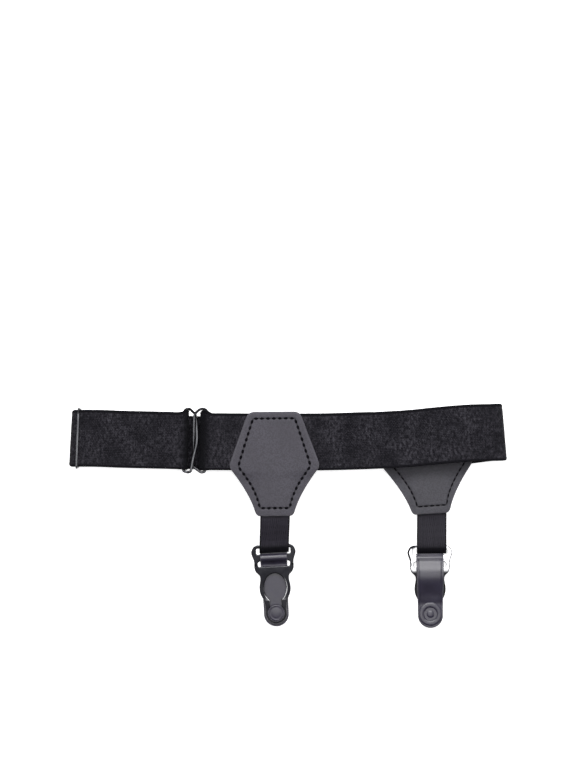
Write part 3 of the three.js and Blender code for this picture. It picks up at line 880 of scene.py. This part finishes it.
def make_stitches(name, side, level, face, length_share, width):
    """The stitches on one leather's face, each a short hump of thread that dips in at its ends."""
    bm = bmesh.new()
    for path, count in stitch_sides():
        route = BentRoute([(p.x + side["seam_shift"], p.y) for p in path])
        pitch = route.stations[-1] / count
        for i in range(count):
            before, middle, after = (route.at(pitch * (i + share), 0) for share in (0.1, 0.5, 0.9))
            heading = math.atan2(after.y - before.y, after.x - before.x) + side["turn"]
            centre = patch_point(side, middle.x, middle.y, level, face * STITCH_LIFT)
            centre.z = max(centre.z, STITCH_RISE + 0.01)
            shape = Matrix.Diagonal((pitch * length_share / 2, width / 2, STITCH_RISE, 1))
            place_at = Matrix.Translation(centre) @ Matrix.Rotation(heading, 4, "Z") @ shape
            bmesh.ops.create_uvsphere(bm, u_segments=12, v_segments=8, radius=1, matrix=place_at)
    finished(name, bm, THREAD, sharp=80)


# Straps

def strap_route(side):
    """The strap's way as (down, z), from between the leathers round the clip's rail to its tail."""
    inside_patch = 19
    tail_end = side["y"] - 1.6
    tail_level = max(side["level"] - STRAP_THICK - GAP - 0.3, STRAP_THICK / 2 + 0.05)
    route = [(-side["y"] - inside_patch, side["level"])]
    ease_to(route, (-side["y"] + 0.6, side["level"]), step=1.5)
    ease_to(route, (-side["rail_y"], RAIL_Z + STRAP_TURN_RADIUS), step=1)
    half_turn(route, -side["rail_y"], RAIL_Z, STRAP_TURN_RADIUS, 1, 20, STRAP_LOOP_REACH, slope=1.6)
    ease_to(route, (-tail_end, tail_level), step=1)
    return BentRoute(route)


def make_strap(name, side, node):
    route = strap_route(side)
    rows = (1.5, 3.0, 4.5, 5.4, 5.8, 6.1)
    bm = flat_strip(route.stations, rows, STRAP_WIDTH, STRAP_THICK, 0.4)
    keep_cloth_place(bm)
    shade = bm.verts.layers.float.new("painted_shade")
    for vert in bm.verts:
        distance, across, height = vert.co
        fullness = 0.9 + 0.1 * smoothstep(5.4, 6.0, abs(across))
        down, z = route.at(distance, height * fullness)
        y = -down
        share = smoothstep(0, 1, (side["y"] - y) / (side["y"] - side["rail_y"]))
        above = max(y - side["y"], 0)
        # Painted shade: the side's own amount, rising to full where the strap dives round the rail
        vert[shade] = mix(side["strap_shade"], 1.0, smoothstep(-1.4, 0.6, side["rail_y"] - y))
        y += mix(side["turn"], side["rail_turn"], share) * across
        vert.co = (across + mix(*side["strap_x"], share) - side["turn"] * above, y, z)
    piece = finished(name, bm, SATIN, [node], sharp=60)


# Clips; each is made about its top rail, with -Y down the clip and +Z towards the stud's head

# The plate's right side, from its ear to where its round end starts
FRAME_SIDE = [
    (7.2, 0.95), (8.9, 0.1), (9.85, -1.6), (9.95, -2.9), (9.3, -4.9), (8.85, -6.6), (8.85, -9.3),
    (8.2, -11.2), (6.7, -12.8), (6.45, -14.6), (7, -18), (6.7, -20.8), (5.6, -23.4), (4.9, -25.8),
]


def flat_curve_mesh(loops, thick, rounding):
    """A flat plate with holes and rounded edges, from loops of points: the outline, then holes."""
    curve = bpy.data.curves.new("plate", "CURVE")
    curve.dimensions = "2D"
    curve.fill_mode = "BOTH"
    curve.extrude = thick / 2 - rounding
    curve.bevel_depth = rounding
    curve.bevel_resolution = 3
    curve.offset = -rounding
    for points in loops:
        spline = curve.splines.new("POLY")
        spline.use_cyclic_u = True
        spline.points.add(len(points) - 1)
        for target, point in zip(spline.points, points):
            target.co = (point.x, point.y, 0, 1)
    holder = in_scene("plate", curve)
    bpy.context.view_layer.update()
    mesh = bpy.data.meshes.new_from_object(holder)
    bpy.data.objects.remove(holder)
    bpy.data.curves.remove(curve)
    bm = bmesh.new()
    bm.from_mesh(mesh)
    bpy.data.meshes.remove(mesh)
    close_up(bm, 0.001)
    return bm


def rounded_loop(corners):
    """A closed loop through corners, each x, y and how far it is rounded."""
    points = []
    for i, (x, y, radius) in enumerate(corners):
        at = Vector((x, y))
        before = (Vector(corners[i - 1][:2]) - at).normalized()
        after = (Vector(corners[(i + 1) % len(corners)][:2]) - at).normalized()
        points += quadratic_chain([at + before * radius, at, at + after * radius], [5])
    return points


def keyhole_painted_glint(at):
    """A painted glint on the keyhole's edge: on its right side and at its lower left."""
    up = at.y + KEYHOLE_DOWN
    radius = math.hypot(at.x / KEYHOLE_HALF, up / KEYHOLE_HALF_HEIGHT)
    on_edge = hump(0.96, 0.98, 1.085, 1.1, radius)
    on_bevel = smoothstep(0.05, 0.2, at.z)
    heading = math.atan2(up, at.x)
    right = hump(-1.3, -0.8, 0.3, 0.9, heading)
    lower_left = hump(-2.6, -2.35, -2.05, -1.8, heading)
    return 0.55 * on_edge * on_bevel * max(right, lower_left)


def clip_frame_mesh():
    """The flat plate with its strap window, its tongue window and its keyhole."""
    half = [Vector((0, 0.75)), Vector((5.6, 0.75))] + smooth_through(FRAME_SIDE, 5)
    half += arc(-STUD_DOWN, FRAME_END_RADIUS, 0.3, -math.pi / 2, 14)
    upper = CROSSBAR_DOWN - CROSSBAR_HALF
    lower = CROSSBAR_DOWN + CROSSBAR_HALF
    strap_window = rounded_loop([(-7.7, -WINDOWS_DOWN, 0.6), (7.7, -WINDOWS_DOWN, 0.6),
                                 (7.7, -upper, 0.6), (-7.7, -upper, 0.6)])
    tongue_window = rounded_loop([(-7.3, -lower - 0.9, 0.5), (-5.4, -lower, 0.4), (5.4, -lower, 0.4),
                                  (7.3, -lower - 0.9, 0.5), (7.1, -WINDOWS_END, 0.6),
                                  (-7.1, -WINDOWS_END, 0.6)])
    joint = math.acos(STUD_SLOT_HALF / KEYHOLE_HALF)
    keyhole = arc(-STUD_DOWN, STUD_SLOT_HALF, math.pi, 2 * math.pi, 16)
    keyhole += arc(-KEYHOLE_DOWN, KEYHOLE_HALF, -joint, math.pi + joint, 44, KEYHOLE_HALF_HEIGHT)
    bm = flat_curve_mesh([mirrored_loop(half), strap_window, tongue_window, keyhole], FRAME_THICK,
                         EDGE_ROUND)
    # The layers come first, because a new one lets go of every vertex held
    rim = bm.verts.layers.float.new("rim")
    bare_metal_and_glint = bm.verts.layers.float.new("bare_metal_and_glint")
    # Rows inside each edge, and across the plate, stop its shades from spreading over long faces
    for facing, widths in ((-1, (0.42, 0.06)), (1, (0.16,))):
        flat = [f for f in bm.faces if f.normal.z * facing > 0.99]
        for width in widths:
            bmesh.ops.inset_region(bm, faces=flat, thickness=width, use_boundary=True,
                                   use_even_offset=False)
        if facing < 0:
            edge_verts = set(bm.verts) - {vert for face in flat for vert in face.verts}
    cut_across(bm, [-8.8 - 0.3 * i for i in range(9)] + [-24.0, -24.4], 1)
    half_thick = FRAME_THICK / 2
    for vert in bm.verts:
        x, y, z = vert.co
        # The front face's bevel, worn paler, which also stands for a painted edge highlight
        vert[rim] = 1.0 if half_thick - 0.3 < z < half_thick - 0.02 else 0.0
        # The reverse is unplated as far down as the tongue's window, but for a ring inside its right
        # edge, which keeps the dark plating as a painted dark reflection; the face gets the keyhole's
        # painted glint
        by_window = abs(x) < 8.15 and -9.4 < y < -0.35
        painted_dark_edge = vert in edge_verts and x > 0 and not by_window
        on_reverse = (z < 0.02 - half_thick or by_window and z < 0) and not painted_dark_edge
        vert[bare_metal_and_glint] = 1 - smoothstep(9.0, 11.5, -y) if on_reverse else keyhole_painted_glint(vert.co)
        # The face dips just below the tongue's window
        if y < -8:
            vert.co.z -= 0.12 * (1 - smoothstep(8.6, 11.0, -y)) * (0.5 + z / FRAME_THICK)
    return bm


def bow_at(down, height):
    """How far the tongue bows away from the frame at a distance down from the top rail."""
    share = share_of(CROSSBAR_DOWN + 1, BOW_END, down)
    return height * math.sin(share ** 0.68 * math.pi) ** 2


def spun_on_stud(bm, profile, base, steps):
    """Spins a profile of radii and heights over a base round the stud's axis."""
    spun(bm, [(radius, -STUD_DOWN, base + height) for radius, height in profile],
         (0, -STUD_DOWN, 0), (0, 0, 1), steps)


def tongue_mesh(bow):
    """The moulded tongue: its strip with a round end, a ring and a dome, a barrel and the stud."""
    near = FRAME_THICK / 2 + GAP
    half_thick = TONGUE_THICK / 2
    end_middle = TONGUE_END_HALF - TONGUE_END
    half = [Vector((x, -LIP_DOWN)) for x in (0, 2, 4)]
    half += smooth_through([(6.1, -LIP_DOWN), (6.1, -CROSSBAR_DOWN), (5.95, -12), (5.7, -20),
                            (5.6, end_middle + 1)], 12)
    half += arc(end_middle, TONGUE_END_HALF, 0, -math.pi / 2, 14)[1:]
    outline = mirrored_loop(half)
    # Rows from the middle of the inner face over the edge to the middle of the outer face, which has
    # a fine line inside its edge: the share of the way in to the middle line, and the height.
    rows = [(share, half_thick) for share in (0.999, 0.7, 0.4, 0.1)]
    rows += [(0.03, 0.52), (0.0, 0.3), (0.0, -0.3), (0.02, -0.48), (0.07, -half_thick),
             (0.14, -half_thick), (0.165, -0.52)]
    rows += [(share, -half_thick) for share in (0.19, 0.3, 0.5, 0.75, 0.999)]
    middles = [Vector((0, max(point.y, end_middle))) for point in outline]
    bm = bmesh.new()
    skin(bm, [[(*point.lerp(middle, share), height) for point, middle in zip(outline, middles)]
              for share, height in rows])
    rim = bm.verts.layers.float.new("rim")
    for vert in bm.verts:
        x, y, z = vert.co
        # The rim marks the outer face's worn edges, and over the paddle end a painted lighter tone
        by_edge = 1.0 if abs(x) > 5.28 else 0.0
        vert[rim] = max(by_edge, smoothstep(23.5, 26.5, -y)) if z < -0.45 else 0.0
        if z < 0:
            z += PADDLE_RELIEF * smoothstep(23, 25.5, -y) + LIP_STEP * (1 - smoothstep(3.6, 5.0, -y))
        elif z > 0.5:
            z += FILLET_RISE * hump(3.4, 4.6, 5.6, 8.9, -y)
        vert.co.z = z - (near + half_thick + bow_at(-y, bow))
    low = -near - half_thick
    outer = low - half_thick + PADDLE_RELIEF
    ring = [(2.8, 0.2), (2.85, -0.03), (3.1, -0.24), (3.5, -0.37), (4.0, -0.41), (4.5, -0.4),
            (4.9, -0.32), (5.22, -0.14), (5.42, 0.1), (5.42, 0.2), (2.8, 0.2)]
    dome = [(0, 0.3), (1.8, 0.3), (1.75, -0.03), (1.5, -0.18), (1.15, -0.31), (0.75, -0.38),
            (0.35, -0.41), (0, -0.42)]
    spun_on_stud(bm, ring, outer, 48)
    spun_on_stud(bm, dome, outer, 32)
    for vert in bm.verts:
        vert.co.z -= PADDLE_DROOP * bow * smoothstep(23, 37, -vert.co.y)
    barrel = [(-6.1, 0), (-6.1, 1.57), (-5.85, 1.8), (5.85, 1.8), (6.1, 1.57), (6.1, 0)]
    spun(bm, [(x, radius - BARREL_DOWN, BARREL_Z) for x, radius in barrel],
         (0, -BARREL_DOWN, BARREL_Z), (1, 0, 0), 32)
    stud = [(0, low - near), (1.9, low - near), (1.9, 0), (3.3, 0), (3.58, 0.1), (3.7, 0.35), (3.7, 0.85),
            (3.62, 1.06), (3.42, 1.18), (3.15, 1.18), (2.98, 1.0), (2.8, 0.94), (2.2, 1.07), (1.5, 1.15),
            (0.7, 1.2), (0, 1.21)]
    spun_on_stud(bm, stud, near, 40)
    close_up(bm, 0.002)
    return bm


def make_clip(prefix, side, bow, turned_over):
    turn = Matrix.Rotation(math.atan(side["rail_turn"]), 4, "Z")
    over = Matrix.Rotation(math.pi if turned_over else 0.0, 4, "Y")
    hung = Matrix.Translation((side["rail_x"], side["rail_y"], RAIL_Z)) @ turn @ over
    for part, bm, finish, slot, node in (
            ("plate", clip_frame_mesh(), BLACK_METAL, "black_metal", "frame"),
            ("button", tongue_mesh(bow), PLASTIC, "moulded_plastic", "tongue")):
        bm.transform(hung)
        finished(f"{prefix}_clip_{part}", bm, finish, [f"{prefix}_clip_{node}"])


# Assembly

make_band()
make_slider()
make_closure()
OUTER_STITCH = dict(length_share=0.68, width=1.3)
INNER_STITCH = dict(length_share=0.8, width=0.72)
for prefix, side in (("front", FRONT), ("back", BACK)):
    reach = BAND_THICK / 2 + GAP + LEATHER_THICK / 2
    outward = 1 if prefix == "front" else -1
    for part, towards, finish, thread in (("outer", outward, OUTER_LEATHER, OUTER_STITCH),
                                          ("inner", -outward, INNER_LEATHER, INNER_STITCH)):
        level = side["level"] + towards * reach
        make_patch(f"{prefix}_{part}_leather", side, level, towards, finish, f"{prefix}_patch_{part}")
        make_stitches(f"{prefix}_{part}_stitches", side, level, towards, **thread)
    make_strap(f"{prefix}_satin_strap", side, f"{prefix}_strap")
make_clip("front", FRONT, 0.0, False)
make_clip("back", BACK, 2.2, True)


# Floor, light and camera, in metres

VIEW_LENGTH = 0.3422
VIEW_MIDDLE = (0.00004, 0.0589)
VIEW_LEVEL = 0.008


def make_floor():
    bm = bmesh.new()
    bmesh.ops.create_grid(bm, x_segments=1, y_segments=1, size=3.0)
    mesh = bpy.data.meshes.new("floor")
    bm.to_mesh(mesh)
    bm.free()
    paper, _ = new_finish("white_paper", 0.9, Base_Color=(0.93, 0.93, 0.93, 1), Specular_IOR_Level=0.1,
                          Emission_Color=(1, 1, 1, 1), Emission_Strength=0.75)
    mesh.materials.append(paper)
    in_scene("floor", mesh)


def softbox(name, location, aimed_y, width, height, power):
    light = bpy.data.lights.new(name, "AREA")
    light.shape = "RECTANGLE"
    light.size = width
    light.size_y = height
    light.energy = power
    lamp = in_scene(name, light)
    lamp.location = location
    aim = Vector((0.0, aimed_y, 0.0)) - Vector(location)
    lamp.rotation_euler = aim.to_track_quat("-Z", "Y").to_euler()


def set_studio():
    world = bpy.data.worlds.new("studio")
    world.use_nodes = True
    background = world.node_tree.nodes["Background"]
    background.inputs["Color"].default_value = (0.95, 0.97, 1.0, 1)
    background.inputs["Strength"].default_value = 0.12
    bpy.context.scene.world = world
    softbox("top_softbox", (0.0, 0.95, 1.05), 0.02, 1.3, 0.7, 22)
    softbox("overhead_softbox", (0.0, 0.16, 1.6), 0.16, 1.1, 1.0, 8.9)
    softbox("left_softbox", (-1.25, 0.1, 0.75), 0.02, 0.5, 0.9, 2.6)
    softbox("right_softbox", (1.25, 0.1, 0.75), 0.02, 0.5, 0.9, 3.2)


def set_camera():
    """Straight down with a long lens, which takes in the view's length at the garter's upper side."""
    lens = bpy.data.cameras.new("camera")
    lens.lens = 135
    lens.sensor_width = 36
    lens.clip_end = 20
    camera = in_scene("camera", lens)
    camera.location = (*VIEW_MIDDLE, lens.lens / lens.sensor_width * VIEW_LENGTH + VIEW_LEVEL)
    bpy.context.scene.camera = camera


make_floor()
set_studio()
set_camera()
bpy.context.scene.view_settings.view_transform = "Standard"
